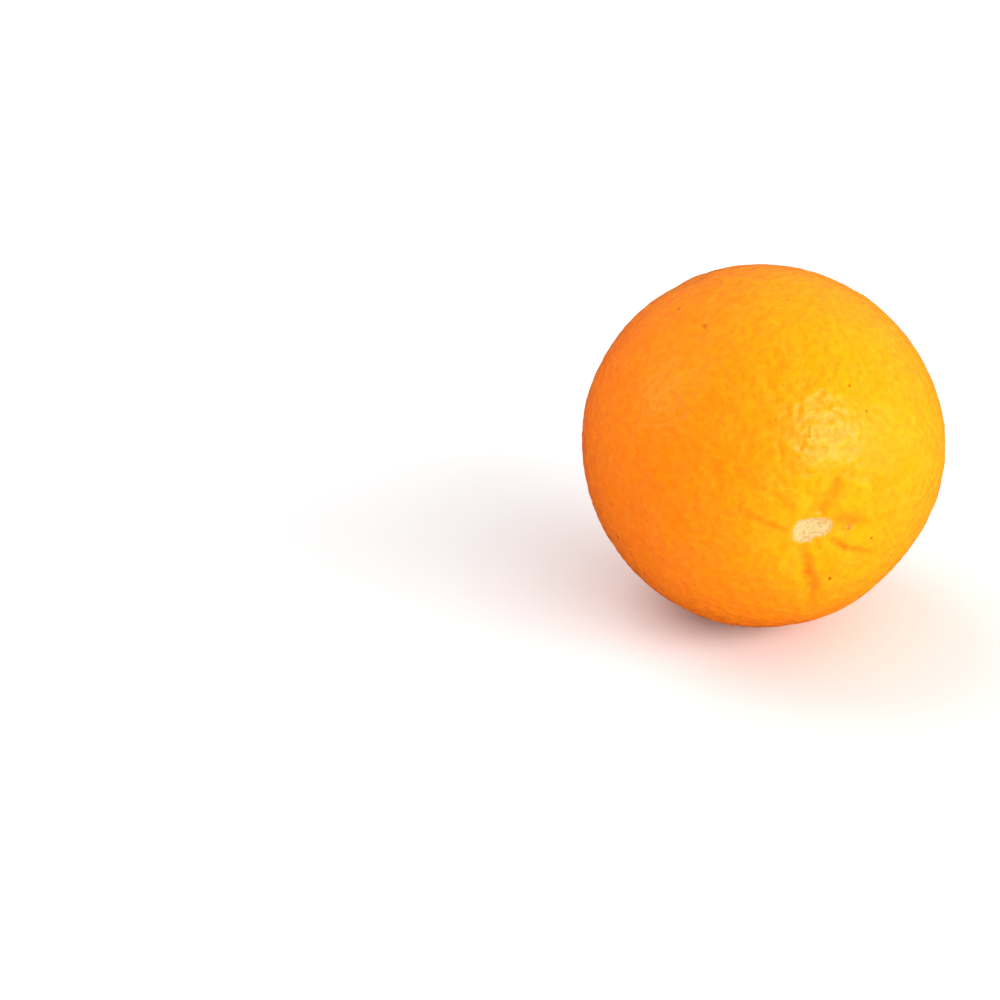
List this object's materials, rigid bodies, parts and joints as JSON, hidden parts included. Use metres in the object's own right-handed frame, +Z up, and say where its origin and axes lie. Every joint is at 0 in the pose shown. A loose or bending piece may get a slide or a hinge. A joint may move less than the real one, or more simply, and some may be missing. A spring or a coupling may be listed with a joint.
{
  "type": "orange",
  "caption": "Whole ripe orange with pebbled peel, a pale dry stem scar in a furrowed dimple, and a small flat spot it rests on.",
  "frame": {"origin": "on the flat spot's plane, at the middle of the fruit's box seen from above", "axes": "+Z up; the stem axis lies along Y, stem end towards -Y and blossom end towards +Y; +X to the right seen from the stem end"},
  "size_m": [0.0782, 0.0784, 0.0775],
  "materials": {
    "peel": "waxy pebbled peel, soft satin shine, cream dry stem scar"
  },
  "bodies": {
    "root": {"orange": "peel"}
  },
  "joints": []
}
